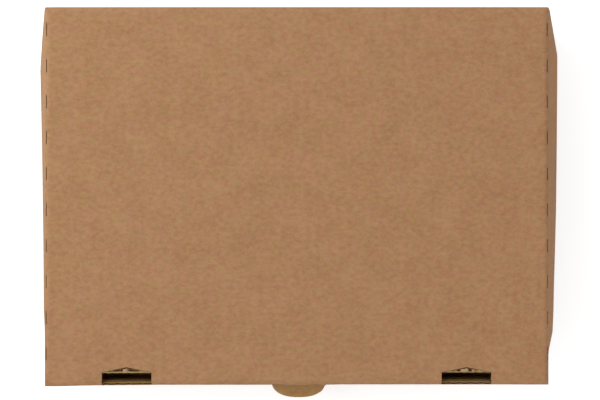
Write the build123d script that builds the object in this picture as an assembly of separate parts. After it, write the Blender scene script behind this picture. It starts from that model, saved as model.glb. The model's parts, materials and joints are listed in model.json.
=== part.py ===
from build123d import *
import math
import os

# A mailer box folded from one blank of single-wall corrugated board: a tray and its hinged
# lid, closed. The lid's front wall is rolled double over two ears, and its lock tabs rise
# into two slots in the lid panel. Its side skirts hang outside the tray and lean outwards.
# Millimetres. +X is right, the front is towards -Y, and z = 0 is what the box stands on.

# Board
board = 3.0
inner_bend = 1.0
bend = board + inner_bend
play = 0.2

# Lid panel and rolled front wall, about the middle of the panel
box_height = 80.0
lid_front = -115.3
lid_rear = 115.0
panel_half_width = 149.2
skirt_depth = 44.0
roll_gap = 5.0
under_panel = 0.4

# Lock slots in the lid panel, with a rear edge pushed to a shallow V by the tab behind it
slot_width = 30.3
slot_middles = (-103.6, 103.1)
slot_front = -113.7
slot_depth = 5.0
slot_lip_drop = 3.3
slot_corner = 1.4
tab_half_width = 13.5
tab_gap = 0.3
tab_below_top = 0.5

# Thumb tab, cut out of the front wall and left level at its foot
thumb_middle = 1.0
thumb_half_width = 17.2
thumb_reach = 11.3
thumb_fullness = 2.4
thumb_cut = 0.5

# Side skirts. Pairs are the front end and the rear end. Leans are degrees at the stations
skirt_front = -107.9
skirt_stations = (0.0, 0.05, 0.1, 0.16, 0.23, 0.33, 0.45, 0.6, 0.8, 1.0)
fold_radius = (3.5, 4.0)
left_fold = (153.7, 153.7)
right_fold = (153.3, 153.7)
left_lean = (0.0, 4.7, 7.3, 8.3, 8.4, 8.6, 9.1, 9.8, 11.1, 12.5)
right_lean = (0.0, 7.6, 10.8, 11.6, 12.0, 12.9, 13.8, 14.3, 14.7, 15.0)
left_rear_cut = 36.0
right_rear_cut = 28.0
rear_step = 0.1
rear_corner = 1.5
foot_round = 8.0
ear_length = 28.0

# Perforated creases
cut_pitch = 21.9
cut_length = 7.8
cut_width = 0.8
side_cut_x = (152.7, 152.25)
side_cut_rear = 100.9
side_cuts = 10
front_cuts = (0.5, 1.5, 2.5, 3.5, 6.5)

# Hinge crease
hinge_gap = 0.3

# Tray, inside the lid
tray_width = 299.0
tray_middle = -0.5
tray_front = -103.5
tray_top = box_height - board - under_panel
rear_wall_inset = 1.0
tray_slot_offset = 75.0
tray_ear = 60.0
tab_above_floor = 0.6

roll_depth = 2 * board + roll_gap
lid_foot = box_height - skirt_depth
inner_wall_back = lid_front + roll_depth
inner_wall_front = inner_wall_back - board
hinge_out = (bend + hinge_gap) * math.sqrt(0.5)
hinge_y = lid_rear - bend + hinge_out
hinge_z = box_height - bend + hinge_out
far = 200.0


def block(x, y, z):
    """A box given by its low and high x, y and z."""
    size = (x[1] - x[0], y[1] - y[0], z[1] - z[0])
    return Pos((x[0] + x[1]) / 2, (y[0] + y[1]) / 2, (z[0] + z[1]) / 2) * Box(*size)


def prism(path, plane, low, high):
    """The closed outline of a path, swept between two offsets of a plane."""
    outline = make_face(Curve() + [path, Line(path @ 1, path @ 0)])
    return extrude(plane.offset(low) * outline, high - low)


def folded(corners, low, high):
    """Board folded along outer corners (y, z), on the left of the path, from low to high x."""
    outside = FilletPolyline(*corners, radius=bend)
    inside = []
    for i, corner in enumerate(corners):
        legs = zip(corners[max(i - 1, 0) : i + 1], corners[i : i + 2])
        if i == 0 or i == len(corners) - 1:
            legs = [tuple(corners[:2] if i == 0 else corners[-2:])]
        shift = Vector(0, 0)
        for a, b in legs:
            along = (Vector(*b) - Vector(*a)).normalized()
            shift += Vector(-along.Y, along.X) * board
        inside.append((corner[0] + shift.X, corner[1] + shift.Y))
    lining = FilletPolyline(*inside, radius=inner_bend)
    ends = [Line(outside @ 0, lining @ 0), Line(outside @ 1, lining @ 1)]
    section = make_face(Curve() + [outside, lining] + ends)
    return extrude(Plane.YZ.offset(low) * section, high - low)


def quarter(axis, centre, x, y, z):
    """A quarter turn of board round an axis through a centre, inside the ranges given."""
    turn = Rot(90, 0, 0) if axis == Axis.Y else Rot(0, 0, 0)
    tube = turn * (Cylinder(bend, 2 * far) - Cylinder(inner_bend, 2 * far))
    return Pos(*centre) * tube & block(x, y, z)


def span(a, b):
    """Two values in rising order."""
    return (min(a, b), max(a, b))


def between(ends, s):
    """The value at s of something that changes evenly from the front to the rear."""
    return ends[0] + (ends[1] - ends[0]) * s


def skirt_section(side, fold, lean, s):
    """A side skirt's section at s: the edge of the panel, the fold and the leaning wall."""
    y = skirt_front + s * (lid_rear - skirt_front)
    radius = between(fold_radius, s)
    centre = between(fold, s) - radius
    tilt = math.radians(lean)
    drop = skirt_depth - radius
    top = math.pi / 2

    def point(r, angle, down=0.0):
        x = centre + r * math.cos(angle) + down * math.sin(tilt)
        z = box_height - radius + r * math.sin(angle) - down * math.cos(tilt)
        return (side * x, y, z)

    def arc(r, a, b):
        return ThreePointArc(point(r, a), point(r, (a + b) / 2), point(r, b))

    edge = (side * panel_half_width, y, box_height)
    lip = (side * panel_half_width, y, box_height - board)
    hollow = radius - board
    lines = [
        Line(edge, point(radius, top)),
        arc(radius, top, tilt),
        Line(point(radius, tilt), point(radius, tilt, drop)),
        Line(point(radius, tilt, drop), point(hollow, tilt, drop)),
        Line(point(hollow, tilt, drop), point(hollow, tilt)),
        arc(hollow, tilt, top),
        Line(point(hollow, top), lip),
        Line(lip, edge),
    ]
    return Face(Wire(lines))


def rear_rounding(side, edge_x):
    """What is cleared to round a skirt's rear corner, seen from the side and from above."""
    y = lid_rear - bend
    z = box_height - bend
    above = block((-far, far), (y, far), (z, far)) - Pos(0, y, z) * Rot(0, 90, 0) * Cylinder(bend, 2 * far)
    x = side * (edge_x - rear_corner)
    y = lid_rear - rear_corner
    beside = block(span(x, side * far), (y, far), (0, far)) - Pos(x, y, 0) * Cylinder(rear_corner, 2 * far)
    return above + beside


def lid_skirt(side, fold, leans, rear_cut):
    """One side skirt with its fold, its slanted rear end and its ear in the front wall."""
    sections = [skirt_section(side, fold, a, s) for a, s in zip(leans, skirt_stations)]
    skirt = loft(sections, ruled=True)

    # The rear end is cut on the slant, from the top corner to a rounded foot
    foot = lid_rear - rear_cut
    low = lid_foot + 1.0
    end = lid_rear - rear_step
    slant = FilletPolyline((end, box_height - bend), (foot, low), (foot - 20, low), radius=foot_round)
    around = Polyline(
        slant @ 1,
        (foot - 20, low - 10),
        (far, low - 10),
        (far, box_height + 1),
        (end, box_height + 1),
        slant @ 0,
    )
    outline = make_face(Curve() + [slant, around])
    skirt -= extrude(Plane.YZ.offset(-far) * outline, 2 * far)
    skirt -= rear_rounding(side, fold[1])

    # At the front the top of the fold runs on to the corner of the panel
    crown = extrude(sections[0], skirt_front - lid_front - bend, dir=(0, -1, 0))
    crown &= block((-far, far), (lid_front, skirt_front), (box_height - bend - 1, box_height))

    # Below it the board turns into an ear that lies in the rolled front wall
    ear_face = skirt_front - bend
    turn_x = side * (fold[0] - bend)
    heights = (lid_foot + board + 2 * play, box_height - bend - 1)
    turn = quarter(
        Axis.Z,
        (turn_x, skirt_front, 0),
        span(turn_x, side * fold[0]),
        (ear_face, skirt_front),
        heights,
    )
    ear = block(
        span(turn_x, side * (fold[0] - bend - ear_length)), (ear_face, ear_face + board), heights
    )
    return skirt + crown + turn + ear


def slot_opening(x):
    """One lock slot in the lid panel, with the V in its rear edge."""
    half = slot_width / 2
    shoulder = inner_wall_front + 0.1
    outline = Polyline(
        (x - half, slot_front),
        (x - half, shoulder),
        (x, inner_wall_back),
        (x + half, shoulder),
        (x + half, slot_front),
    )
    through = prism(outline, Plane.XY, box_height - board - 0.1, box_height + 1)
    front = block(
        (x - half, x + half),
        (slot_front, inner_wall_front - play),
        (box_height - slot_depth, box_height + 1),
    )
    rounded = FilletPolyline(
        (x - half, inner_wall_front - play),
        (x - half, lid_front),
        (x + half, lid_front),
        (x + half, inner_wall_front - play),
        radius=slot_corner,
    )
    lip = prism(rounded, Plane.XY, box_height - slot_lip_drop, box_height + 1)
    return through + front + lip


def lock_tab(x):
    """The end of the inner wall that shows in a slot, crushed to a wedge as it went in."""
    wedge = Polyline(
        (x - tab_half_width, inner_wall_front),
        (x, inner_wall_back - tab_gap),
        (x + tab_half_width, inner_wall_front),
    )
    return prism(wedge, Plane.XY, tray_top, box_height - tab_below_top)


def moon(half, reach):
    """Half an oval of the thumb tab's shape, fuller than half an ellipse."""
    points = []
    for i in range(13):
        across = math.cos(math.pi * i / 12)
        out = math.sin(math.pi * i / 12)
        x = -half * math.copysign(abs(across) ** (2 / thumb_fullness), across)
        points.append((thumb_middle + x, reach * abs(out) ** (2 / thumb_fullness)))
    up = math.copysign(1, reach)
    edge = Spline(*points, tangents=[(0, up), (0, -up)])
    return make_face(Curve() + [edge, Line(edge @ 1, edge @ 0)])


def lid_front_wall():
    """The panel and the front wall rolled double behind it, with its slots, tabs and thumb tab."""
    path = [
        (lid_rear, box_height - 2 * bend),
        (lid_rear, box_height),
        (lid_front, box_height),
        (lid_front, lid_foot),
        (inner_wall_back, lid_foot),
        (inner_wall_back, tray_top),
    ]
    sheet = folded(path, -panel_half_width, panel_half_width)

    # The outer wall runs on over the ends of the skirts, under rounded top corners
    outer = folded(path, -left_fold[0], right_fold[0])
    outer &= block((-far, far), (lid_front, lid_front + bend), (lid_foot, box_height))
    frame = block((-left_fold[0], right_fold[0]), (lid_front, 0), (0, box_height))
    crown = frame.edges().filter_by(Axis.Y).group_by(Axis.Z)[-1]
    lid = sheet + (outer & fillet(crown, fold_radius[0]))

    for x in slot_middles:
        lid -= slot_opening(x)
    for x in slot_middles:
        lid += lock_tab(x)

    # The thumb tab leaves a half-moon in the outer wall
    flat = lid_front + bend
    half = thumb_half_width + thumb_cut
    wall = Plane((0, flat, lid_foot + bend), (1, 0, 0), (0, -1, 0))
    hole = extrude(wall * moon(half, thumb_reach), bend + 1, dir=(0, -1, 0))
    ends = (thumb_middle - half, thumb_middle + half)
    hole += block(ends, (lid_front - 1, flat), (lid_foot - 1, lid_foot + bend))
    half = thumb_half_width
    tab = extrude(Pos(0, lid_front, lid_foot) * moon(half, -thumb_reach), board, dir=(0, 0, 1))
    ends = (thumb_middle - half, thumb_middle + half)
    tab += block(ends, (lid_front, flat), (lid_foot, lid_foot + board))
    return lid - hole + tab


def crease_cuts():
    """The short cuts along the side creases and the front crease of the lid."""
    cutter = Box(cut_width, cut_length, 2 * board)
    cuts = []
    for side, fold in ((-1, left_fold), (1, right_fold)):
        for i in range(side_cuts):
            y = side_cut_rear - i * cut_pitch
            s = max(0.0, (y - skirt_front) / (lid_rear - skirt_front))
            radius = between(fold_radius, s)
            centre = between(fold, s) - radius
            slope = math.asin((between(side_cut_x, s) - centre) / radius)
            middle = radius - board / 2
            x = centre + middle * math.sin(slope)
            z = box_height - radius + middle * math.cos(slope)
            cuts.append(Pos(side * x, y, z) * Rot(0, side * math.degrees(slope), 0) * cutter)
    middle = (bend - board / 2) * math.sqrt(0.5)
    for k in front_cuts:
        for side in (-1, 1):
            place = Pos(side * k * cut_pitch, lid_front + bend - middle, box_height - bend + middle)
            cuts.append(place * Rot(45, 0, 0) * Rot(0, 0, 90) * cutter)
    return cuts


def mitre(above):
    """What is cleared beyond the hinge crease, above it for the tray or below it for the lid."""
    shift = hinge_gap / math.sqrt(2) * (-1 if above else 1)
    y = lid_rear - bend
    z = box_height - bend + shift
    reach = 2 * bend
    end = far if above else 0
    path = Polyline(
        (y - reach, z - inner_bend),
        (y - inner_bend, z - inner_bend),
        (y + reach, z + reach),
        (y + reach, end),
        (y - reach, end),
    )
    return prism(path, Plane.YZ, -far, far)


def make_lid():
    """The whole lid, folded from one piece."""
    lid = lid_skirt(-1, left_fold, left_lean, left_rear_cut)
    lid += lid_front_wall() - mitre(above=False)
    lid += lid_skirt(1, right_fold, right_lean, right_rear_cut)
    return lid - crease_cuts()


def tray_side(side):
    """One side wall of the tray with its fold and an ear at each end."""
    face = tray_middle + side * tray_width / 2
    inner = face - side * board
    turn_x = face - side * bend
    front_face = tray_front + board + play
    rear_face = lid_rear - board - play
    front = front_face + bend
    rear = rear_face - bend
    heights = (bend, tray_top - board - play)
    wall = block(span(face, inner), (front, rear), (bend, tray_top))
    fold = quarter(Axis.Y, (turn_x, 0, bend), span(turn_x, face), (front, rear), (0, bend))
    piece = wall + fold
    for y, out, top in ((front, -1, heights[1]), (rear, 1, tray_top)):
        z = (bend, top)
        ear_face = y + out * bend
        piece += quarter(Axis.Z, (turn_x, y, 0), span(turn_x, face), span(y, ear_face), z)
        end = turn_x - side * tray_ear
        piece += block(span(turn_x, end), span(ear_face, ear_face - out * board), z)
    return piece


def make_tray():
    """The whole tray, folded from the same piece as the lid."""
    inner_back = tray_front + roll_depth
    foot = board + under_panel
    path = [
        (inner_back, foot),
        (inner_back, tray_top),
        (tray_front, tray_top),
        (tray_front, 0),
        (lid_rear, 0),
        (lid_rear, box_height),
        (lid_rear - 2 * bend, box_height),
    ]
    half = tray_width / 2 - rear_wall_inset
    tray = folded(path, tray_middle - half, tray_middle + half) - mitre(above=True)

    # The base stops at the side folds, and the roll's inner wall between the side walls
    front = tray_front + bend
    rear = lid_rear - bend
    base_half = tray_width / 2 - bend
    for side in (-1, 1):
        edge = tray_middle + side * base_half
        tray -= block(span(edge, side * far), (front, rear), (-1, far))

    # Tabs of the inner wall stand in two slots in the base
    slot = (inner_back - board - play, inner_back + play)
    for side in (-1, 1):
        x = tray_middle + side * tray_slot_offset
        width = (x - slot_width / 2, x + slot_width / 2)
        tray -= block(width, slot, (-1, foot))
        width = (x - tab_half_width, x + tab_half_width)
        tray += block(width, (inner_back - board, inner_back), (tab_above_floor, foot))
    return tray + tray_side(-1) + tray_side(1)


tray = make_tray()
lid = make_lid()

# The origin is below the middle of the whole box
outer_box = Compound([tray, lid]).bounding_box()
centre = outer_box.center()
os.makedirs("parts", exist_ok=True)
for name, piece in (("tray", tray), ("lid", lid)):
    placed = Pos(-centre.X, -centre.Y, -outer_box.min.Z) * piece
    export_step(placed, f"parts/{name}.step")
print("moved by", -centre.X, -centre.Y, -outer_box.min.Z)
print("hinge at y, z", hinge_y - centre.Y, hinge_z - outer_box.min.Z)
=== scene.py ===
"""A mailer box folded from corrugated board, dressed for the camera.

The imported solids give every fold, slot and wall. Here each wall gets what real board has: an
outer and an inner liner taken from the solid's own faces, the fluting between them, which shows
wherever the board is cut, and a paper finish. Sizes are in millimetres, about the middle of the
lid panel, and `Frame.place` turns them into the frame's metres.
"""

import json
import logging
import math
from dataclasses import dataclass
from enum import Enum
from typing import ClassVar

import bmesh
import bpy
import numpy as np
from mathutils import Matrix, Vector

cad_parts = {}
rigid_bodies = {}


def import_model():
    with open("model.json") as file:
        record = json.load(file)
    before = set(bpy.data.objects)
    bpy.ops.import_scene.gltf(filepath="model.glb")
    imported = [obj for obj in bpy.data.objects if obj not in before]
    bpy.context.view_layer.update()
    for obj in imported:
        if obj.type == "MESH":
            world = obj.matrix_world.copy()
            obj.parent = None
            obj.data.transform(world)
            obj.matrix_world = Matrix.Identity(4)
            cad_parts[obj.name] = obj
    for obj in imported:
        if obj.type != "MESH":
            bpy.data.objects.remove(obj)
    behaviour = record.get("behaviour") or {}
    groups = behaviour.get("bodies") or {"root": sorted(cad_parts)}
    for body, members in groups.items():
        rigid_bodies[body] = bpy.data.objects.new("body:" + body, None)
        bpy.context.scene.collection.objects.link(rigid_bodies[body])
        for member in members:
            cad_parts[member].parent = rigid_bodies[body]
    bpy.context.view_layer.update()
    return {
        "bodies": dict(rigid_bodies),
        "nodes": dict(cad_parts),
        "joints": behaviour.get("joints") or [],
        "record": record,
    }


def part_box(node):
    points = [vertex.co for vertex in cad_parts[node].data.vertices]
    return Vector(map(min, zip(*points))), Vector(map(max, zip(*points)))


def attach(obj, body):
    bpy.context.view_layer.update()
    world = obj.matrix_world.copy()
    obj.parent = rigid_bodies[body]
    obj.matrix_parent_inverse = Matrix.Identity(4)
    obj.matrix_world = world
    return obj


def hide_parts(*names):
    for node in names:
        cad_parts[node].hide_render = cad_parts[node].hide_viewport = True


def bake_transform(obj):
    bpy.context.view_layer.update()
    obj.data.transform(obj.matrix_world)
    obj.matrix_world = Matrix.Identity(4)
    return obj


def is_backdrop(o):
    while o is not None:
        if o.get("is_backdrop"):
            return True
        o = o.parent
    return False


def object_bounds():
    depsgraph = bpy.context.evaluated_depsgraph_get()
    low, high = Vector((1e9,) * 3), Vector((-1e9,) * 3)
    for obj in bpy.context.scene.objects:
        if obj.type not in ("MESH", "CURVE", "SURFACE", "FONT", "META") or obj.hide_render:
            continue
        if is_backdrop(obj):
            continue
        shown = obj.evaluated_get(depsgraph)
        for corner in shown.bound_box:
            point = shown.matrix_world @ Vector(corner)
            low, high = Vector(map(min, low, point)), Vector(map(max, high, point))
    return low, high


LOG = logging.getLogger("mailer_box")

# One millimetre in metres, and the board's thickness and flute pitch in millimetres
MM = 0.001
THICKNESS = 3.0
PITCH = 6.71


class Side(Enum):
    """The two faces of the board."""

    OUTER = "outer"
    INNER = "inner"


class Paper(Enum):
    """The papers of the board, each with its own finish. Two of them also carry painted shade
    inside the slots.
    """

    OUTER = "outer"
    INNER = "inner"
    FLUTE = "flute"
    # Crushed paper has its own colour at a slot's lip, and where it lines the wall deep in a slot
    # it is painted shade
    CRUSHED_AND_SHADE = "crushed"
    # Painted shade: a dark paper for the roll just behind a slot's lip, where shade falls
    PAINTED_SHADE = "rolled"


class Body(Enum):
    """The two halves that the hinge crease joins."""

    TRAY = "tray"
    LID = "lid"

    @property
    def slot(self) -> str:
        """The record's material slot of this half."""
        return f"{self.value}_board"


@dataclass(frozen=True)
class Board:
    """Single-wall board with B flutes."""

    thickness: float = THICKNESS
    liner: float = 0.32
    medium: float = 0.22
    pitch: float = PITCH
    inner_bend: float = 1.0

    @property
    def bend(self) -> float:
        """Outer radius of a fold."""
        return self.thickness + self.inner_bend

    @property
    def wave(self) -> float:
        """How far the fluting swings to each side of the middle of the board."""
        return (self.thickness - 2 * self.liner - self.medium) / 2


@dataclass(frozen=True)
class Sizes:
    """The box's driving dimensions, as its solids have them."""

    height: float = 80.0
    front: float = -115.3
    rear: float = 115.0
    panel_half: float = 149.2
    skirt_depth: float = 44.0
    inner_wall_front: float = -107.3
    inner_wall_back: float = -104.3
    slot_width: float = 30.3
    slot_middles: tuple[float, float] = (-103.6, 103.1)
    slot_front: float = -113.7
    thumb_middle: float = 1.0
    thumb_half: float = 17.2
    thumb_cut: float = 0.5
    thumb_reach: float = 11.3
    thumb_fullness: float = 2.4
    skirt_front: float = -107.9
    skirt_stations: tuple[float, ...] = (0.0, 0.05, 0.1, 0.16, 0.23, 0.33, 0.45, 0.6, 0.8, 1.0)
    fold_radius: tuple[float, float] = (3.5, 4.0)
    left_fold: tuple[float, float] = (153.7, 153.7)
    right_fold: tuple[float, float] = (153.3, 153.7)
    left_lean: tuple[float, ...] = (0.0, 4.7, 7.3, 8.3, 8.4, 8.6, 9.1, 9.8, 11.1, 12.5)
    right_lean: tuple[float, ...] = (0.0, 7.6, 10.8, 11.6, 12.0, 12.9, 13.8, 14.3, 14.7, 15.0)
    left_rear_cut: float = 36.0
    right_rear_cut: float = 28.0
    rear_step: float = 0.1
    tray_width: float = 299.0
    tray_middle: float = -0.5
    tray_front: float = -103.5
    tray_ear: float = 60.0
    tray_slot_offset: float = 75.0
    roll_depth: float = 11.0
    play: float = 0.2
    under_panel: float = 0.4

    @property
    def foot(self) -> float:
        """Height of the foot of the lid's walls."""
        return self.height - self.skirt_depth

    @property
    def tray_top(self) -> float:
        """Height of the tray's walls."""
        return self.height - THICKNESS - self.under_panel

    def near_slot(self, x: np.ndarray) -> np.ndarray:
        """Distance from the middle of the nearer slot, along x."""
        return np.minimum(*(np.abs(x - middle) for middle in self.slot_middles))

    def moon(self, x: np.ndarray, half: float, reach: float) -> np.ndarray:
        """Outline of the thumb tab along x: half an oval, fuller than half an ellipse.

        Args:
            x: Places along x.
            half: Half the oval's width.
            reach: How far it goes at its middle.

        Returns:
            The reach at each place, and nought beyond the oval's ends.
        """
        across = np.abs(x - self.thumb_middle) / half
        return reach * np.clip(1 - across**self.thumb_fullness, 0, 1) ** (1 / self.thumb_fullness)


class Frame:
    """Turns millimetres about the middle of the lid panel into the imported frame's metres."""

    def __init__(self, sizes: Sizes) -> None:
        """Finds the origin from the tray's box.

        Args:
            sizes: The box's driving dimensions.
        """
        low, high = (np.array(corner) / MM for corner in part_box("tray"))
        x = (low[0] + high[0]) / 2 - sizes.tray_middle
        y = high[1] - sizes.rear
        self.origin = np.array([x, y, low[2]])

    def place(self, points: np.ndarray) -> np.ndarray:
        """Points in the frame's metres, from points in millimetres about the lid panel."""
        return (np.asarray(points, float) + self.origin) * MM

    def measure(self, points: np.ndarray) -> np.ndarray:
        """Points in millimetres about the lid panel, from points in the frame's metres."""
        return np.asarray(points, float) / MM - self.origin

    def point(self, x: float, y: float, z: float) -> tuple[float, float, float]:
        """One point in the frame's metres."""
        return tuple(float(v) for v in self.place(np.array([x, y, z])))


@dataclass(frozen=True)
class FrontFold:
    """How the lid's front fold differs from an even one.

    The panel is a little longer at its left end, and the perforations lie low on the round of the
    fold. Both move the papers by less than two millimetres.

    At `places` along x the papers come forward by `lengths`, and what is at `even_turns` degrees
    round an even fold is at `turns` here. The faces get more edges at `split_turns`. Corners above
    `facet_turn` that are `facet_reach` or more from the axis go out to the round.
    """

    frame: Frame
    sizes: Sizes
    radius: float
    places: tuple[float, ...] = (-147.0, -132.0, -122.7, -101.4, -83.0, 17.0, 27.0, 120.0, 148.0)
    lengths: tuple[float, ...] = (0.97, 0.6, 0.41, 0.21, 0.0, 0.0, -0.2, -0.2, -0.12)
    even_turns: tuple[float, ...] = (0.0, 12.0, 39.0, 51.0, 90.0)
    turns: tuple[float, ...] = (0.0, 12.0, 17.0, 29.0, 90.0)
    split_turns: tuple[float, ...] = (60.0, 70.0, 80.0)
    facet_turn: float = 52.0
    facet_reach: float = 3.4
    slack: float = 0.1
    hair: float = 0.01
    end_gap: float = 0.5

    @property
    def axis(self) -> np.ndarray:
        """A point on the fold's axis."""
        return np.array([0.0, self.sizes.front + self.radius, self.sizes.height - self.radius])

    def divide(self, mesh: bmesh.types.BMesh) -> None:
        """Adds edges round and along the fold, so that the faces can follow it.

        Args:
            mesh: The lid's faces, in metres.
        """
        centre = self.frame.place(self.axis)
        limit = centre + np.array((0, self.hair, -self.hair)) * MM
        for x in self.places:
            self._cut(mesh, mesh.faces[:], self.frame.point(x, 0.0, 0.0), (1.0, 0.0, 0.0))
        for turn in np.radians(self.split_turns):
            middles = [(face, face.calc_center_median()) for face in mesh.faces]
            faces = [face for face, c in middles if c.y < limit[1] and c.z > limit[2]]
            self._cut(mesh, faces, centre, (0.0, math.sin(turn), math.cos(turn)))
        self._round(mesh)

    @staticmethod
    def _cut(
        mesh: bmesh.types.BMesh, faces: list[bmesh.types.BMFace], place: tuple, normal: tuple
    ) -> None:
        """Adds edges where a plane through a place crosses some faces."""
        parts = dict.fromkeys(part for face in faces for part in (*face.verts, *face.edges, face))
        bmesh.ops.bisect_plane(mesh, geom=list(parts), plane_co=place, plane_no=normal)

    def _round(self, mesh: bmesh.types.BMesh) -> None:
        """Lifts the corners that lie on a flat facet of the fold out to its round.

        Args:
            mesh: The lid's faces, in metres.
        """
        points = self.frame.measure([vert.co for vert in mesh.verts])
        reach, turn = self._polar(points)
        inside = (reach > self.facet_reach) & (reach < self.radius)
        low = inside & (turn > self.facet_turn) & (turn < 90 - self.slack)
        mesh.verts.ensure_lookup_table()
        for index in np.nonzero(low)[0]:
            out = (points[index] - self.axis) * (0, 1, 1) / reach[index] * self.radius
            mesh.verts[index].co = self.frame.place(self.axis + out + points[index] * (1, 0, 0))

    def _polar(self, points: np.ndarray) -> tuple[np.ndarray, np.ndarray]:
        """Where points lie round the fold's axis.

        Args:
            points: An array of points in millimetres.

        Returns:
            Distances from the axis, and degrees round it from the front to the top.
        """
        back = points[..., 1] - self.axis[1]
        up = points[..., 2] - self.axis[2]
        return np.hypot(back, up), np.degrees(np.arctan2(up, -back))

    def shape(self, points: np.ndarray) -> np.ndarray:
        """Where points of an even fold lie on this one.

        On the round, a point's turn becomes the one in `turns`. Then every point comes forward by
        the length at its x, in full up to the fold's axis and not at all at the inner wall's back.

        Args:
            points: An array of points in millimetres.

        Returns:
            The moved points.
        """
        s = self.sizes
        x, y, z = np.moveaxis(np.asarray(points, float), -1, 0)
        reach, turn = self._polar(np.asarray(points, float))
        on_round = (turn > -self.slack) & (turn < 90 + self.slack)
        on_round &= np.abs(reach - self.radius) < self.slack
        outer = on_round & (np.abs(x) < s.panel_half - self.end_gap)
        new = np.radians(np.interp(turn, self.even_turns, self.turns))
        y = np.where(outer, self.axis[1] - self.radius * np.cos(new), y)
        z = np.where(outer, self.axis[2] + self.radius * np.sin(new), z)
        share = np.interp(y, (self.axis[1], s.inner_wall_back), (1.0, 0.0))
        return np.stack([x, y - share * np.interp(x, self.places, self.lengths), z], axis=-1)


class Value:
    """A shader socket, with the usual operators as Math nodes."""

    def __init__(self, graph: "Graph", socket: bpy.types.NodeSocket | None) -> None:
        """Wraps a socket of a graph."""
        self.graph = graph
        self.socket = socket

    def _math(self, operation: str, *others: "Value | float", swap: bool = False) -> "Value":
        """A Math node on this value and the others.

        Args:
            operation: What the node does.
            *others: Its other inputs.
            swap: Whether the inputs go in from the last to the first.

        Returns:
            The node's output.
        """
        values = [self, *others][::-1] if swap else [self, *others]
        inputs = dict(enumerate(values))
        return self.graph.node("ShaderNodeMath", {"operation": operation}, inputs)

    def __add__(self, other: "Value | float") -> "Value":
        """Sum."""
        return self._math("ADD", other)

    __radd__ = __add__

    def __mul__(self, other: "Value | float") -> "Value":
        """Product."""
        return self._math("MULTIPLY", other)

    __rmul__ = __mul__

    def __sub__(self, other: "Value | float") -> "Value":
        """Difference."""
        return self._math("SUBTRACT", other)

    def __rsub__(self, other: "Value | float") -> "Value":
        """Difference the other way round."""
        return self._math("SUBTRACT", other, swap=True)

    def __gt__(self, other: "Value | float") -> "Value":
        """One where this is greater, otherwise nought."""
        return self._math("GREATER_THAN", other)

    def larger(self, other: "Value | float") -> "Value":
        """The larger of two values."""
        return self._math("MAXIMUM", other)

    def sine(self) -> "Value":
        """Sine."""
        return self._math("SINE")

    def size(self) -> "Value":
        """Absolute value."""
        return self._math("ABSOLUTE")

    def clamp(self) -> "Value":
        """Held between nought and one."""
        return self.graph.node("ShaderNodeClamp", {}, {0: self})


class Graph:
    """The node tree of a material or of the world."""

    def __init__(self, owner: bpy.types.Material | bpy.types.World) -> None:
        """Empties the owner's node tree.

        Args:
            owner: The material or world.
        """
        owner.use_nodes = True
        self.tree = owner.node_tree
        self.tree.nodes.clear()

    def node(
        self,
        kind: str,
        settings: dict[str, object],
        inputs: dict[int | str, object],
        output: int | str = 0,
    ) -> Value:
        """Adds any node.

        Args:
            kind: The node's type.
            settings: Its own properties, set first.
            inputs: Values or links of its sockets, by number or name.
            output: The socket to hand back.

        Returns:
            The wanted output, wrapped.
        """
        made = self.tree.nodes.new(kind)
        for key, setting in settings.items():
            setattr(made, key, setting)
        for key, value in inputs.items():
            if isinstance(value, Value):
                self.tree.links.new(value.socket, made.inputs[key])
            else:
                made.inputs[key].default_value = value
        return Value(self, made.outputs[output] if made.outputs else None)

    def outputs(self, first: Value, wanted: tuple[int | str, ...]) -> list[Value]:
        """Several outputs of the node that a value comes from."""
        return [Value(self, first.socket.node.outputs[key]) for key in wanted]

    def axes(self, vector: Value) -> list[Value]:
        """The three parts of a vector."""
        return self.outputs(self.node("ShaderNodeSeparateXYZ", {}, {0: vector}), (0, 1, 2))

    def noise(self, vector: Value, scale: float, detail: float, rough: float) -> Value:
        """A noise from 0 to 1 on a vector, with its scale in features per metre."""
        inputs = {"Vector": vector, "Scale": scale, "Detail": detail, "Roughness": rough}
        return self.node("ShaderNodeTexNoise", {}, inputs)

    def stretch(self, vector: Value, factors: tuple[float, float, float]) -> Value:
        """A vector with its three parts scaled."""
        settings = {"operation": "MULTIPLY"}
        return self.node("ShaderNodeVectorMath", settings, {0: vector, 1: factors})

    def mix(self, factor: Value | float, first: object, second: object) -> Value:
        """A colour between two colours. A Mix node's colours are inputs 6 and 7 and output 2."""
        inputs = {0: factor, 6: first, 7: second}
        return self.node("ShaderNodeMix", {"data_type": "RGBA"}, inputs, 2)


def srgb(red: float, green: float, blue: float) -> tuple[float, float, float, float]:
    """A colour given as it looks on a screen, as a shader's colour.

    The screen's curve is a straight line near black, and a power of 2.4 above it.

    Args:
        red: The red part, from 0 to 255.
        green: The green part.
        blue: The blue part.

    Returns:
        Linear red, green and blue, and an alpha of one.
    """
    parts = np.array([red, green, blue]) / 255
    low = parts / 12.92
    high = ((parts + 0.055) / 1.055) ** 2.4
    return (*(float(v) for v in np.where(parts <= 0.04045, low, high)), 1.0)


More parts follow.
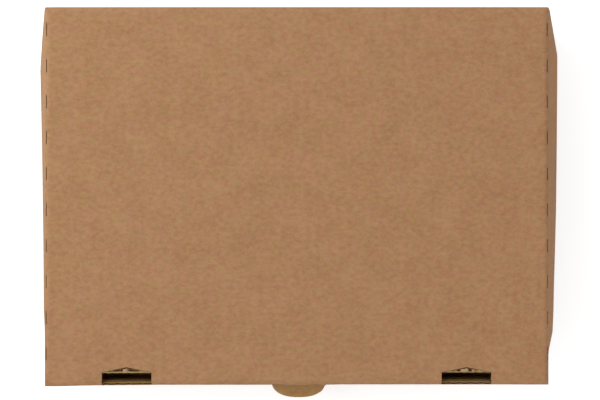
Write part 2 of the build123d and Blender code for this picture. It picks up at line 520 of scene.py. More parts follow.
@dataclass(frozen=True)
class KraftFinish:
    """Brown kraft paper: cloudy fibre, drifting hue, faint washboard over the flutes and specks.

    The colour is the mean of three mixes, each between two ends: light to dark, red to green and
    yellow to grey. Each follows a noise of its own.

    Tones and spans are colour levels, scales are features per metre, and the relief's height is in
    millimetres. `gain` is how strongly a noise moves its mix.
    """

    name: str
    tone: tuple[float, float, float]
    light_span: float = 53.0
    hue_span: float = 22.0
    gain: float = 3.0
    washboard: float = 0.05
    specks: float = 0.5
    speck_tone: float = 0.6
    speck_level: float = 0.75
    speck_gain: float = 14.0
    wide: tuple[float, float, float] = (0.72, 1.0, 0.72)
    side_limit: float = 0.7
    cloud_scale: float = 60.0
    fibre_scale: float = 385.0
    hue_scale: float = 345.0
    speck_scale: float = 900.0
    fibre_relief: float = 1.2
    ridge_relief: float = 3.0
    relief_height: float = 0.12
    bump: float = 0.4
    roughness: float = 0.9
    fibre_roughness: float = 0.3
    sheen: float = 0.25

    def ends(self, red: float, green: float, blue: float) -> tuple[tuple, tuple]:
        """The paper's tone shifted one way and the other.

        Args:
            red: The shift in red, in colour levels.
            green: The shift in green.
            blue: The shift in blue.

        Returns:
            The two colours, as a shader takes them.
        """
        middle = np.array(self.tone)
        step = np.array((red, green, blue))
        return srgb(*(middle - step)), srgb(*(middle + step))

    def build(self) -> bpy.types.Material:
        """Makes the material.

        Returns:
            The finished material.
        """
        material = bpy.data.materials.new(self.name)
        graph = Graph(material)
        place = graph.node("ShaderNodeTexCoord", {}, {}, "Object")
        normal = graph.node("ShaderNodeNewGeometry", {}, {}, "True Normal")
        x, _, z = graph.axes(place)
        facing = graph.axes(normal)[0].size() > self.side_limit

        # The flutes run from front to back, so on side walls the ridges follow the height
        along = x * (1 - facing) + z * facing
        ridge = (along * (2 * math.pi / (PITCH * MM))).sine() * 0.5

        wide = graph.stretch(place, self.wide)
        mirrored = graph.stretch(place, (-1.0, 1.0, 1.0))
        cloud = graph.noise(place, self.cloud_scale, detail=3.0, rough=0.6) - 0.5
        fibre = graph.noise(wide, self.fibre_scale, detail=4.0, rough=0.78) - 0.5
        blush = graph.noise(place, self.hue_scale, detail=4.0, rough=0.74) - 0.5
        haze = graph.noise(mirrored, self.hue_scale, detail=4.0, rough=0.74) - 0.5

        light = fibre * self.gain + cloud + ridge * self.washboard + 0.5
        half = self.light_span / 2
        shade = graph.mix(light.clamp(), *self.ends(half, half, half))
        half = self.hue_span / 2
        tint = graph.mix((blush * self.gain + 0.5).clamp(), *self.ends(-half, half, 0.0))
        grey = graph.mix((haze * self.gain + 0.5).clamp(), *self.ends(0.0, half, -half))
        colour = graph.mix(1 / 3, graph.mix(0.5, shade, tint), grey)
        speck = graph.noise(place, self.speck_scale, detail=1.0, rough=0.4)
        spots = ((speck - self.speck_level) * self.speck_gain).clamp() * self.specks
        colour = graph.mix(spots, colour, srgb(*(np.array(self.tone) * self.speck_tone)))

        relief = fibre * self.fibre_relief + ridge * self.washboard * self.ridge_relief
        inputs = {"Strength": self.bump, "Distance": self.relief_height * MM, "Height": relief}
        bump = graph.node("ShaderNodeBump", {}, inputs)
        inputs = {
            "Base Color": colour,
            "Roughness": fibre * self.fibre_roughness + self.roughness,
            "Normal": bump,
            "Specular IOR Level": self.sheen,
        }
        surface = graph.node("ShaderNodeBsdfPrincipled", {}, inputs)
        graph.node("ShaderNodeOutputMaterial", {}, {"Surface": surface})
        return material


FINISHES = {
    Paper.OUTER: KraftFinish("kraft_outer", (176, 129, 90)),
    Paper.INNER: KraftFinish("kraft_inner", (194, 151, 98), washboard=0.1),
    Paper.FLUTE: KraftFinish("kraft_flute", (190, 158, 112), washboard=0.0),
    # The crushed paper is the lip's own colour, and darkens the wall deep in a slot as painted
    # shade
    Paper.CRUSHED_AND_SHADE: KraftFinish("kraft_crushed_and_shade", (158, 120, 66), washboard=0.0),
    # Painted shade: this dark paper stands in for the shade inside a slot, behind the lip
    Paper.PAINTED_SHADE: KraftFinish("kraft_painted_shade", (90, 70, 47), washboard=0.0),
}


def new_mesh(name: str, points: np.ndarray, faces: np.ndarray) -> bpy.types.Object:
    """A mesh object from points in metres and faces.

    Args:
        name: The object's name.
        points: An array of n by 3 points.
        faces: An array of m by 4 corners.

    Returns:
        The object, linked to the scene.
    """
    mesh = bpy.data.meshes.new(name)
    mesh.from_pydata(points.tolist(), [], faces.tolist())
    mesh.update()
    made = bpy.data.objects.new(name, mesh)
    bpy.context.scene.collection.objects.link(made)
    return made


def grid_faces(rows: int, columns: int) -> np.ndarray:
    """The faces of a grid whose points are stored row by row.

    Args:
        rows: The grid's rows.
        columns: Its columns.

    Returns:
        An array with four corners to a face.
    """
    index = np.arange(rows * columns).reshape(rows, columns)
    corners = (index[:-1, :-1], index[:-1, 1:], index[1:, 1:], index[1:, :-1])
    return np.stack([c.ravel() for c in corners], axis=1)


def join_grids(grids: list[np.ndarray]) -> tuple[np.ndarray, np.ndarray]:
    """Points and faces of several grids.

    Args:
        grids: Arrays of rows by columns by 3.

    Returns:
        All the points, and the faces with their corners counted through.
    """
    points = []
    faces = []
    start = 0
    for grid in grids:
        rows, columns = grid.shape[:2]
        points.append(grid.reshape(-1, 3))
        faces.append(grid_faces(rows, columns) + start)
        start += rows * columns
    return np.concatenate(points), np.concatenate(faces)


def line(x: np.ndarray, y: np.ndarray | float, z: np.ndarray | float) -> np.ndarray:
    """Points along x at the given y and z."""
    return np.stack([x, np.broadcast_to(y, x.shape), np.broadcast_to(z, x.shape)], axis=-1)


@dataclass
class Piece:
    """Turns grids in millimetres into a finished piece of paper that rides on a body."""

    frame: Frame
    body: Body
    fold: FrontFold | None = None

    def sheet(
        self, name: str, grids: list[np.ndarray], thickness: float, finish: bpy.types.Material
    ) -> None:
        """Makes paper of a thickness along some grids.

        Args:
            name: The piece's name.
            grids: Its middle surfaces, in millimetres.
            thickness: Its thickness in millimetres.
            finish: Its material.
        """
        points, faces = join_grids(grids)
        if self.fold:
            points = self.fold.shape(points)
        made = new_mesh(name, self.frame.place(points), faces)
        made.data.shade_smooth()
        self.thicken(made, thickness, 0.0)
        self.dress(made, finish)

    @staticmethod
    def thicken(made: bpy.types.Object, thickness: float, offset: float) -> None:
        """Gives a surface its thickness, as closed paper.

        Args:
            made: The surface.
            thickness: The paper's thickness in millimetres.
            offset: Where the paper lies, from -1 for behind the surface to 0 for round it.
        """
        solid = made.modifiers.new("paper", "SOLIDIFY")
        solid.thickness = thickness * MM
        solid.offset = offset
        solid.use_even_offset = True
        solid.use_quality_normals = True
        smooth = made.modifiers.new("flat_panels", "WEIGHTED_NORMAL")
        smooth.keep_sharp = True

    def dress(self, made: bpy.types.Object, finish: bpy.types.Material) -> None:
        """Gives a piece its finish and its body.

        Args:
            made: The piece.
            finish: Its material.
        """
        made.data.materials.clear()
        made.data.materials.append(finish)
        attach(made, self.body.value)
        LOG.info("%s: %d faces, rides on %s", made.name, len(made.data.polygons), self.body.value)


@dataclass
class Liners:
    """The two papers of a folded solid, taken from the solid's own faces.

    The board is cut where two faces turn by more than `sharp`, and shaded as an edge past `crisp`.
    """

    node: bpy.types.Object
    body: Body
    fold: FrontFold | None = None
    sharp: float = math.radians(48)
    crisp: float = math.radians(35)
    merge: float = 1e-6

    def split(self) -> dict[Side, bpy.types.Object]:
        """Copies the solid and keeps the faces of the board's two sides.

        Each side is what can be reached from its own face of the flat panel over folds, which are
        rounded. What is left, where the board is cut across, stays open and shows the fluting.

        Returns:
            One surface for each side of the board.
        """
        mesh = bmesh.new()
        mesh.from_mesh(self.node.data)
        bmesh.ops.remove_doubles(mesh, verts=mesh.verts, dist=self.merge)
        if self.fold:
            self.fold.divide(mesh)
        mesh.normal_update()
        up = 1 if self.body is Body.LID else -1
        papers = {}
        for side, facing in ((Side.OUTER, up), (Side.INNER, -up)):
            start = max(mesh.faces, key=lambda f: f.calc_area() * f.normal.z * facing)
            papers[side] = self._copy(self._reach(start), side)
        mesh.free()
        return papers

    def _reach(self, start: bmesh.types.BMFace) -> list[bmesh.types.BMFace]:
        """Every face that can be reached from one face without crossing a sharp edge.

        Args:
            start: The face to start from.

        Returns:
            The faces, from that one on.
        """
        # The list keeps the faces in the same order on every run, which a set alone does not
        seen = {start}
        found = [start]
        for face in found:
            for edge in face.edges:
                for other in edge.link_faces:
                    if other not in seen and face.normal.angle(other.normal, math.pi) < self.sharp:
                        seen.add(other)
                        found.append(other)
        return found

    def _copy(self, faces: list[bmesh.types.BMFace], side: Side) -> bpy.types.Object:
        """A new object with some of the faces.

        Args:
            faces: The faces to take.
            side: The side of the board that they are.

        Returns:
            The object, linked to the scene.
        """
        corners = {}
        for face in faces:
            for vert in face.verts:
                corners.setdefault(vert, len(corners))
        made = bpy.data.meshes.new(f"{self.body.value}_{side.value}_liner")
        points = np.array([vert.co for vert in corners])
        if self.fold:
            frame = self.fold.frame
            points = frame.place(self.fold.shape(frame.measure(points)))
        made.from_pydata(points.tolist(), [], [[corners[v] for v in face.verts] for face in faces])
        made.update()
        made.shade_smooth()
        made.set_sharp_from_angle(angle=self.crisp)
        piece = bpy.data.objects.new(made.name, made)
        bpy.context.scene.collection.objects.link(piece)
        area = sum(face.calc_area() for face in faces) / MM**2
        LOG.info("%s: %d faces, %.0f mm2", made.name, len(faces), area)
        return piece


@dataclass
class Fluting:
    """The wavy paper between the liners, with some steps to each wave."""

    board: Board
    steps: int = 14

    def columns(self, low: float, high: float) -> np.ndarray:
        """Places across the flutes, a fixed number to each wave."""
        count = max(2, round((high - low) / self.board.pitch * self.steps))
        return np.linspace(low, high, count)

    def swing(self, across: np.ndarray) -> np.ndarray:
        """Distance from the middle of the board: a sine of the place across the flutes."""
        return self.board.wave * np.sin(2 * math.pi * across / self.board.pitch)

    def flat(
        self, across: np.ndarray, low: np.ndarray, high: np.ndarray, middle: float, upright: bool
    ) -> np.ndarray:
        """Fluting of a level or upright panel whose flutes run away from the x axis.

        Args:
            across: Places along x.
            low: Where each flute line starts, in y, or in z if upright.
            high: Where it ends.
            middle: The middle of the board, in z, or in y if upright.
            upright: Whether the panel stands.

        Returns:
            A grid of two rows.
        """
        out = middle + self.swing(across)
        ends = np.stack([np.broadcast_to(low, across.shape), np.broadcast_to(high, across.shape)])
        both = np.broadcast_to(across, ends.shape)
        outs = np.broadcast_to(out, ends.shape)
        return np.stack([both, outs, ends] if upright else [both, ends, outs], axis=-1)


@dataclass
class Half:
    """What the lid and the tray share: their board, their papers and how a wall is made."""

    frame: Frame
    sizes: Sizes
    board: Board
    papers: dict[Paper, bpy.types.Material]
    fold: FrontFold | None = None

    body: ClassVar[Body]

    def __post_init__(self) -> None:
        """Prepares the fluting and the making of pieces."""
        self.fluting = Fluting(self.board)
        self.piece = Piece(self.frame, self.body, self.fold)

    def liners(self, node: bpy.types.Object) -> None:
        """Puts the two liners in the solid's place.

        Args:
            node: The half's solid.
        """
        liners = Liners(node, self.body, self.fold).split()
        for side, made in liners.items():
            self.piece.thicken(made, self.board.liner, -1.0)
            self.piece.dress(made, self.papers[Paper(side.value)])
        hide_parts(self.body.value)

    def sheet(self, name: str, grids: list[np.ndarray], thickness: float, paper: Paper) -> None:
        """Makes a piece of one of the papers along some grids."""
        self.piece.sheet(name, grids, thickness, self.papers[paper])


@dataclass(frozen=True)
class SlotPaper:
    """How the paper lies in the lock slots, in millimetres, with heights from the panel's top.

    The `paths` lead from deep in the roll to the lip that the tab pushed forward, with y from the
    front wall's inner face. `liner`, `wave` and `web` are thicknesses. `curls` and `holes` are for
    the left and the right tab. A hole in the fluting has a middle, a half width and a depth. And
    `tear` is how far a torn edge goes in and out by a slow sine and by a fast one.
    """

    paths: tuple[tuple[str, Paper, tuple[tuple[float, float], ...]], ...] = (
        # The wall's crushed paper deep in the slot is painted shade, and the roll's dark paper is
        # painted shade; the lip's crushed paper is its own colour
        ("wall", Paper.CRUSHED_AND_SHADE, ((-0.12, -30.0), (-0.14, -11.0))),
        ("roll", Paper.PAINTED_SHADE, ((-0.14, -11.0), (-0.15, -5.9), (-0.75, -5.0))),
        ("lip", Paper.CRUSHED_AND_SHADE, ((-0.8, -4.9), (-1.3, -3.8), (-1.45, -3.0))),
    )
    beyond: float = 0.1
    liner: float = 0.3
    wave: float = 0.2
    web: float = 0.16
    wave_gaps: tuple[float, float] = (0.25, 0.38)
    wave_heights: tuple[float, float] = (-7.3, -3.0)
    tab_gap: float = 0.15
    tab_drop: float = 1.0
    tab_front: float = 0.25
    tab_back: float = 0.12
    vee_gap: float = 1.15
    curl_heights: tuple[float, float, float] = (-1.3, -0.75, -0.95)
    liner_height: float = -0.6
    web_height: float = -0.75
    curl_start: float = -0.05
    curls: tuple[float, float] = (0.6, 0.4)
    tear: tuple[float, float] = (0.07, 0.05)
    lip_tear: tuple[float, float] = (1.7, 4.1)
    tab_tear: tuple[float, float] = (1.3, 3.1)
    web_rough: float = 0.12
    web_waves: tuple[float, float] = (2.3, 5.0)
    lip_columns: int = 61
    wave_columns: int = 121
    tab_columns: int = 97
    web_rows: int = 13
    holes: tuple[tuple[tuple[float, float, float], ...], ...] = (
        ((-9.2, 2.2, 1.6), (-6.0, 1.5, 6.0), (-3.2, 0.9, 4.0), (4.2, 3.2, 5.0)),
        ((-7.8, 1.2, 1.5), (-4.6, 1.1, 5.0), (2.4, 1.1, 5.0), (6.0, 1.0, 1.5)),
    )

    def torn(self, x: np.ndarray, waves: tuple[float, float], shift: float = 0.0) -> np.ndarray:
        """A torn edge: a slow sine of the place along x and a fast one.

        Args:
            x: Places along x.
            waves: The two sines' radians to a millimetre.
            shift: How far round the fast one starts.

        Returns:
            How far the edge is out at each place.
        """
        slow, fast = self.tear
        return slow * np.sin(x * waves[0]) + fast * np.sin(x * waves[1] + shift)


@dataclass
class LidBoard(Half):
    """The lid: panel, skirts, rolled front wall, lock tabs and thumb tab.

    The gaps are how far fluting stays from cut edges, ends, slots and slants, and `slot_drop` how
    far below the top it ends under a slot. A skirt's slant is full `slant_foot` above its foot,
    and its top corner is set back by the bend less `top_corner`.
    """

    body: ClassVar[Body] = Body.LID

    slot_paper: SlotPaper = SlotPaper()
    edge_gap: float = 0.1
    end_gap: float = 0.2
    vee_gap: float = 0.15
    moon_gap: float = 0.12
    slot_drop: float = 6.5
    fold_rows: int = 7
    skirt_columns: int = 40
    foot_gap: float = 0.3
    slant_foot: float = 1.0
    slant_gap: float = 0.4
    top_corner: float = 1.2

    def build(self, node: bpy.types.Object) -> None:
        """Builds every piece of the lid.

        Args:
            node: The lid's solid.
        """
        self.liners(node)
        walls = [self.panel(), self.front_wall(), self.inner_wall(), self.thumb_tab()]
        walls += self.front_round()
        self.sheet("lid_fluting", walls, self.board.medium, Paper.FLUTE)
        skirts = [self.skirt(-1), self.skirt(1)]
        self.sheet("skirt_fluting", skirts, self.board.medium, Paper.FLUTE)
        self.slot_lips()
        self.lock_tabs()

    def panel(self) -> np.ndarray:
        """The panel's fluting, which ends at the front fold or at a slot's V.

        Returns:
            A grid of two rows.
        """
        s = self.sizes
        x = self.fluting.columns(-s.panel_half, s.panel_half)
        half = s.slot_width / 2
        near = s.near_slot(x)
        slope = (s.inner_wall_back - s.inner_wall_front) / half
        vee = s.inner_wall_back - near * slope + self.vee_gap
        front = np.where(near < half + self.end_gap, vee, s.front + self.board.bend)
        middle = s.height - self.board.thickness / 2
        return self.fluting.flat(x, front, s.rear - self.board.bend, middle, upright=False)

    def front_wall(self) -> np.ndarray:
        """The outer front wall's fluting, cut out over the thumb tab.

        Returns:
            A grid of two rows.
        """
        s = self.sizes
        left, right = s.left_fold[0] - self.end_gap, s.right_fold[0] - self.end_gap
        x = self.fluting.columns(-left, right)
        arch = s.moon(x, s.thumb_half + s.thumb_cut, s.thumb_reach)
        foot = s.foot + self.board.bend
        low = foot + arch + np.where(arch > 0, self.edge_gap, 0.0)
        at_slot = s.near_slot(x) < s.slot_width / 2
        top = s.height - np.where(at_slot, self.slot_drop, self.board.bend)
        middle = s.front + self.board.thickness / 2
        return self.fluting.flat(x, low, top, middle, upright=True)

    def front_round(self) -> list[np.ndarray]:
        """The fluting crushed flat in the front fold, between the slots and beside them.

        Returns:
            A grid for each stretch, along a quarter of a circle.
        """
        s = self.sizes
        radius = self.board.bend - self.board.thickness / 2
        turn = np.linspace(0, math.pi / 2, self.fold_rows)[:, None]
        gap = s.slot_width / 2 + self.end_gap
        left, right = s.slot_middles
        ends = (-s.panel_half, left - gap, left + gap, right - gap, right + gap, s.panel_half)
        grids = []
        for low, high in zip(ends[::2], ends[1::2]):
            x = np.array([[low, high]]) + 0 * turn
            y = s.front + self.board.bend - radius * np.cos(turn) + 0 * x
            z = s.height - self.board.bend + radius * np.sin(turn) + 0 * x
            grids.append(np.stack([x, y, z], axis=-1))
        return grids

    def inner_wall(self) -> np.ndarray:
        """The inner front wall's fluting.

        Returns:
            A grid of two rows.
        """
        s = self.sizes
        x = self.fluting.columns(self.edge_gap - s.panel_half, s.panel_half - self.edge_gap)
        middle = (s.inner_wall_front + s.inner_wall_back) / 2
        foot = s.foot + self.board.bend
        return self.fluting.flat(x, foot, s.tray_top - self.edge_gap, middle, upright=True)

    def thumb_tab(self) -> np.ndarray:
        """The thumb tab's fluting, which shows along its half-moon edge.

        Returns:
            A grid of two rows.
        """
        s = self.sizes
        half = s.thumb_half - self.vee_gap
        x = self.fluting.columns(s.thumb_middle - half, s.thumb_middle + half)
        reach = s.moon(x, s.thumb_half, s.thumb_reach - self.moon_gap)
        back = s.front + self.board.bend
        middle = s.foot + self.board.thickness / 2
        return self.fluting.flat(x, s.front - reach, back, middle, upright=False)

    def skirt(self, side: int) -> np.ndarray:
        """A side skirt's fluting, which follows the wall as it leans out towards the rear.

        The first rows go round the fold, where the fluting is crushed flat. The others lie down
        the wall, tilted by its lean there, and swing to its two sides by a sine of the way down.

        Args:
            side: -1 for the left skirt and 1 for the right one.

        Returns:
            A grid with a row for each place down the wall.
        """
        s = self.sizes
        fold = s.left_fold if side < 0 else s.right_fold
        leans = s.left_lean if side < 0 else s.right_lean
        rear_cut = s.left_rear_cut if side < 0 else s.right_rear_cut
        drop = s.skirt_depth - self.board.bend
        wall = self.fluting.columns(0.0, drop - self.foot_gap)
        down = np.concatenate([np.zeros(self.fold_rows - 1), wall])[:, None]
        round_rows = np.linspace(1.0, 0.0, self.fold_rows)[:-1]
        up = np.concatenate([round_rows, np.zeros(wall.size)])[:, None]
        slant = (rear_cut - s.rear_step) / (drop - self.slant_foot)
        end = s.rear - s.rear_step - self.slant_gap - down * slant
        end = end - up * (self.board.bend - self.top_corner)
        along = np.linspace(0.0, 1.0, self.skirt_columns)[None, :]
        y = s.skirt_front + along * (end - s.skirt_front)
        share = (y - s.skirt_front) / (s.rear - s.skirt_front)
        radius = np.interp(share, (0, 1), s.fold_radius)
        centre = np.interp(share, (0, 1), fold) - radius
        tilt = np.radians(np.interp(share, s.skirt_stations, leans))
        turn = tilt + up * (math.pi / 2 - tilt)
        out = radius - self.board.thickness / 2 + self.fluting.swing(down)
        x = side * (centre + out * np.cos(turn) + down * np.sin(tilt))
        z = s.height - radius + out * np.sin(turn) - down * np.cos(tilt)
        return np.stack([x, y, z], axis=-1)

    def slot_lips(self) -> None:
        """The front wall's paper in each slot: its liner, pushed forward at the top, and a wave.

        The liner's lip is torn, and the fluting swings between the outer liner and the slot's
        front by a sine of x.
        """
        s = self.sizes
        paper = self.slot_paper
        half = s.slot_width / 2
        inside = s.front + self.board.thickness
        for name, middle in zip(("left", "right"), s.slot_middles):
            reach = half + paper.beyond
            x = middle + np.linspace(-reach, reach, paper.lip_columns)
            ragged = paper.torn(x, paper.lip_tear)
            # The wall's and the roll's papers are painted shade deep in the slot; the lip's paper
            # is its own colour
            for part, kind, path in paper.paths:
                rows = []
                for row, (back, up) in enumerate(path):
                    uneven = ragged if part == "lip" and row > 0 else 0.0
                    rows.append(line(x, inside + back + uneven, s.height + up))
                self.sheet(f"{name}_slot_{part}", [np.stack(rows)], paper.liner, kind)
            x = middle + np.linspace(-half, half, paper.wave_columns)
            low = s.front + self.board.liner + paper.wave_gaps[0]
            high = s.slot_front - paper.wave_gaps[1]
            swing = (high - low) / 2 * np.sin(2 * math.pi * x / self.board.pitch)
            y = (low + high) / 2 + swing
            rows = [line(x, y, s.height + up) for up in paper.wave_heights]
            self.sheet(f"{name}_slot_wave", [np.stack(rows)], paper.wave, Paper.FLUTE)

    def lock_tabs(self) -> None:
        """The inner wall's end in each slot, crushed as it went in: two liners and the fluting.

        The liners run along the front and along the V. Between them the fluting is pressed to a
        rough top, by a sine of the place along and across it, with holes where it is still open. A
        hole falls off by the fourth power of the distance from its middle, and towards the liners
        by the sixth power.
        """
        s = self.sizes
        paper = self.slot_paper
        half = s.slot_width / 2 - paper.tab_gap
        low = s.tray_top - paper.tab_drop
        depth = s.inner_wall_back - s.inner_wall_front - paper.vee_gap
        slots = zip(("left", "right"), s.slot_middles, paper.curls, paper.holes)
        for name, middle, curl, holes in slots:
            x = np.linspace(-half, half, paper.tab_columns)
            ragged = paper.torn(x, paper.tab_tear, middle)
            front = s.inner_wall_front + paper.tab_front + ragged
            heights = (low, *(s.height + up for up in paper.curl_heights))
            outs = (0.0, paper.curl_start, -curl / 2, -curl)
            rows = [line(x + middle, front + out, z) for out, z in zip(outs, heights)]
            self.sheet(f"{name}_tab_curl", [np.stack(rows)], paper.liner, Paper.FLUTE)
            back = front + paper.tab_back + depth * (1 - np.abs(x) / half)
            heights = (low, s.height + paper.liner_height)
            rows = [line(x + middle, back, z) for z in heights]
            self.sheet(f"{name}_tab_liner", [np.stack(rows)], paper.liner, Paper.INNER)
            across = np.linspace(0.0, 1.0, paper.web_rows)[:, None]
            open_to = sum(deep * np.exp(-(((x - at) / wide) ** 4)) for at, wide, deep in holes)
            along, over = paper.web_waves
            rough = paper.web_rough * np.sin(x * along + across * over)
            sink = open_to * (1 - (2 * across - 1) ** 6) + rough
            y = front + (back - front) * across
            z = s.height + paper.web_height - sink
            grid = np.stack([x + middle + 0 * y, y, z], axis=-1)
            self.sheet(f"{name}_tab_web", [grid], paper.web, Paper.FLUTE)


@dataclass
class TrayBoard(Half):
    """The tray: base, side walls with ears, rear wall and rolled front wall.

    The inset and the gaps are how far fluting stays from ends, bends, the crease and cut edges.
    """

    body: ClassVar[Body] = Body.TRAY

    wall_inset: float = 1.1
    inner_gap: float = 0.1
    crease_gap: float = 0.3
    edge_gap: float = 0.15

    def build(self, node: bpy.types.Object) -> None:
        """Builds every piece of the tray.

        Args:
            node: The tray's solid.
        """
        self.liners(node)
        walls = [self.rear_wall(), *self.front_walls(), self.base()]
        self.sheet("tray_fluting", walls, self.board.medium, Paper.FLUTE)
        sides = [grid for side in (-1, 1) for grid in self.side_walls(side)]
        self.sheet("tray_side_fluting", sides, self.board.medium, Paper.FLUTE)

    def columns(self, half: float) -> np.ndarray:
        """Places across the flutes, up to some distance to each side of the tray's middle."""
        return self.fluting.columns(self.sizes.tray_middle - half, self.sizes.tray_middle + half)

    def rear_wall(self) -> np.ndarray:
        """The rear wall's fluting.

        Returns:
            A grid of two rows.
        """
        s = self.sizes
        x = self.columns(s.tray_width / 2 - self.wall_inset)
        middle = s.rear - self.board.thickness / 2
        top = s.height - self.board.bend - self.crease_gap
        return self.fluting.flat(x, self.board.bend, top, middle, upright=True)

    def front_walls(self) -> list[np.ndarray]:
        """The fluting of the rolled front wall's two layers.

        Returns:
            A grid for each layer, the outer one first.
        """
        s = self.sizes
        outer = s.tray_width / 2 - self.wall_inset
        inner = s.tray_width / 2 - self.board.bend - self.inner_gap
        inset = self.board.thickness / 2
        top = s.tray_top - self.board.bend
        layers = ((outer, s.tray_front + inset), (inner, s.tray_front + s.roll_depth - inset))
        walls = []
        for half, middle in layers:
            x = self.columns(half)
            walls.append(self.fluting.flat(x, self.board.bend, top, middle, upright=True))
        return walls

    def base(self) -> np.ndarray:
        """The base's fluting, which stops at the slots.

        Returns:
            A grid of two rows.
        """
        s = self.sizes
        x = self.columns(s.tray_width / 2 - self.board.bend)
        near = np.abs(np.abs(x - s.tray_middle) - s.tray_slot_offset)
        slot = s.tray_front + s.roll_depth + s.play + self.edge_gap
        front = np.where(near < s.slot_width / 2, slot, s.tray_front + self.board.bend)
        middle = self.board.thickness / 2
        return self.fluting.flat(x, front, s.rear - self.board.bend, middle, upright=False)

    def side_walls(self, side: int) -> list[np.ndarray]:
        """The fluting of a side wall and its rear ear, whose flutes lie level.

        Args:
            side: -1 for the left wall and 1 for the right one.

        Returns:
            A grid for the wall and one for the ear.
        """
        s = self.sizes
        face = s.tray_middle + side * s.tray_width / 2
        z = self.fluting.columns(self.board.bend, s.tray_top - self.edge_gap)[:, None]
        front = s.tray_front + self.board.thickness + s.play + self.board.bend
        rear_face = s.rear - self.board.thickness - s.play
        ends = np.array([[front, rear_face - self.board.bend]])
        out = face - side * self.board.thickness / 2 + self.fluting.swing(z)
        shape = (z.shape[0], 2)
        wall = [np.broadcast_to(v, shape) for v in (out, ends, z)]
        turn = face - side * self.board.bend
        reach = np.array([[turn, turn - side * (s.tray_ear - self.edge_gap)]])
        back = rear_face - self.board.thickness / 2 + self.fluting.swing(z)
        ear = [np.broadcast_to(v, shape) for v in (reach, back, z)]
        return [np.stack(wall, axis=-1), np.stack(ear, axis=-1)]


@dataclass
class HingeCrease:
    """The outer liner that bends where the rear wall turns into the lid.

    It lies `inset` inside the fold's round, between two `turns` in degrees up from the rear.
    """

    frame: Frame
    sizes: Sizes
    board: Board
    finish: bpy.types.Material
    inset: float = 0.15
    turns: tuple[float, float] = (-6.0, 58.0)
    paper: float = 0.25
    end_gap: float = 0.1
    rows: int = 13
    columns: int = 41

    def build(self) -> None:
        """Wraps a strip of outer liner round the fold."""
        s = self.sizes
        bend = self.board.bend
        radius = bend - self.inset
        turn = np.linspace(*np.radians(self.turns), self.rows)[:, None]
        half = s.panel_half - self.end_gap
        x = np.linspace(-half, half, self.columns)[None, :] + 0 * turn
        y = s.rear - bend + radius * np.cos(turn) + 0 * x
        z = s.height - bend + radius * np.sin(turn) + 0 * x
        points, faces = join_grids([np.stack([x, y, z], axis=-1)])
        made = new_mesh("hinge_crease", self.frame.place(points), faces[:, ::-1])
        made.data.shade_smooth()
        Piece.thicken(made, self.paper, 0.0)
        made.data.materials.append(self.finish)
        start = self.frame.point(0, s.rear, s.height - bend)
        end = self.frame.point(0, s.rear - bend, s.height)
        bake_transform(made)
        LOG.info("%s bends from tray to lid", made.name)


@dataclass(frozen=True)
class Lamp:
    """A soft square lamp that points at the box: its place and side in metres, energy in watts."""

    name: str
    place: tuple[float, float, float]
    size: float
    energy: float
    colour: tuple[float, float, float]

    def hang(self) -> None:
        """Adds the lamp to the scene."""
        data = bpy.data.lights.new(self.name, "AREA")
        data.shape = "SQUARE"
        data.size = self.size
        data.energy = self.energy
        data.color = self.colour
        made = bpy.data.objects.new(self.name, data)
        made.location = self.place
        made.rotation_mode = "QUATERNION"
        made.rotation_quaternion = (-Vector(self.place)).to_track_quat("-Z", "Y")
        bpy.context.scene.collection.objects.link(made)


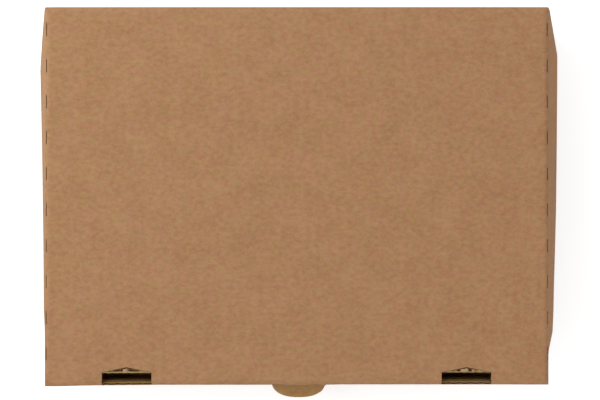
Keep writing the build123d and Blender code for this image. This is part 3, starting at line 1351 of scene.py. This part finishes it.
@dataclass
class Studio:
    """The floor, the lights and the camera above the lid.

    The camera hangs `distance` millimetres above the lid's point `aim`, where a pixel is `scale`
    millimetres. `glow` is the light that the floor shows of its own to the camera.
    """

    frame: Frame
    sizes: Sizes
    distance: float = 1200.0
    scale: float = 0.6078
    width: int = 600
    aim: tuple[float, float] = (1.88, -2.63)
    sensor: float = 36.0
    fill: float = 0.62
    fill_colour: tuple[float, float, float, float] = (0.97, 0.985, 1.0, 1.0)
    glow: float = 0.55
    floor_half: float = 4.0
    floor_tone: float = 0.9
    floor_grain: float = 0.02
    lamps: tuple[Lamp, ...] = (
        Lamp("key", (-1.4, 0.4, 2.2), 1.2, 13.7, (1.0, 0.99, 0.97)),
        Lamp("window", (-0.6, 0.42, 0.46), 0.45, 2.1, (0.78, 0.94, 1.0)),
        Lamp("front", (0.1, -1.3, 0.12), 0.5, 2.0, (0.7, 0.88, 1.0)),
    )

    def build(self) -> None:
        """Sets up everything that isn't part of the box."""
        self.floor()
        self.world()
        for lamp in self.lamps:
            lamp.hang()
        self.camera()
        bpy.context.scene.view_settings.view_transform = "Standard"

    def floor(self) -> None:
        """A white floor that looks white to the camera and keeps the box's shadow."""
        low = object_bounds()[0][2]
        ends = ((-1, -1), (1, -1), (1, 1), (-1, 1))
        corners = [(x * self.floor_half, y * self.floor_half, low) for x, y in ends]
        made = new_mesh("floor", np.array(corners), np.array([[0, 1, 2, 3]]))
        material = bpy.data.materials.new("floor_white")
        graph = Graph(material)
        seen = graph.node("ShaderNodeLightPath", {}, {}, "Is Camera Ray")
        place = graph.node("ShaderNodeTexCoord", {}, {}, "Object")
        grain = graph.noise(place, scale=3.0, detail=2.0, rough=0.5) * self.floor_grain
        tone = grain + self.floor_tone
        colour = graph.node("ShaderNodeCombineColor", {}, {0: tone, 1: tone, 2: tone})
        plain = graph.node("ShaderNodeBsdfDiffuse", {}, {"Color": colour})
        inputs = {"Color": (1, 1, 1, 1), "Strength": self.glow}
        light = graph.node("ShaderNodeEmission", {}, inputs)
        both = graph.node("ShaderNodeAddShader", {}, {0: plain, 1: light})
        surface = graph.node("ShaderNodeMixShader", {}, {0: seen, 1: plain, 2: both})
        graph.node("ShaderNodeOutputMaterial", {}, {"Surface": surface})
        made.data.materials.append(material)
        made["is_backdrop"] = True

    def world(self) -> None:
        """Even light all round, and white where the camera sees past the floor."""
        world = bpy.data.worlds.new("studio")
        bpy.context.scene.world = world
        graph = Graph(world)
        path = graph.node("ShaderNodeLightPath", {}, {})
        rays = ("Is Camera Ray", "Is Glossy Ray", "Is Transmission Ray")
        camera, glossy, through = graph.outputs(path, rays)
        inputs = {"Color": self.fill_colour, "Strength": self.fill}
        lit = graph.node("ShaderNodeBackground", {}, inputs)
        white = graph.node("ShaderNodeBackground", {}, {"Color": (1, 1, 1, 1)})
        seen = camera.larger(glossy).larger(through)
        surface = graph.node("ShaderNodeMixShader", {}, {0: seen, 1: lit, 2: white})
        graph.node("ShaderNodeOutputWorld", {}, {"Surface": surface})

    def camera(self) -> None:
        """A camera straight above, at the photograph's scale on the lid."""
        data = bpy.data.cameras.new("camera")
        data.sensor_width = self.sensor
        data.lens = self.sensor * self.distance / (self.width * self.scale)
        made = bpy.data.objects.new("camera", data)
        made.location = self.frame.point(*self.aim, self.sizes.height + self.distance)
        bpy.context.scene.collection.objects.link(made)
        bpy.context.scene.camera = made


def main() -> None:
    """Builds the box, half by half, and then the studio."""
    logging.basicConfig(level=logging.INFO, format="%(name)s: %(message)s")
    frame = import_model()
    sizes = Sizes()
    board = Board()
    placing = Frame(sizes)
    papers = {paper: finish.build() for paper, finish in FINISHES.items()}
    fold = FrontFold(placing, sizes, board.bend)
    TrayBoard(placing, sizes, board, papers).build(frame["nodes"][Body.TRAY.value])
    LidBoard(placing, sizes, board, papers, fold).build(frame["nodes"][Body.LID.value])
    HingeCrease(placing, sizes, board, papers[Paper.OUTER]).build()
    Studio(placing, sizes).build()


if __name__ == "__main__":
    main()
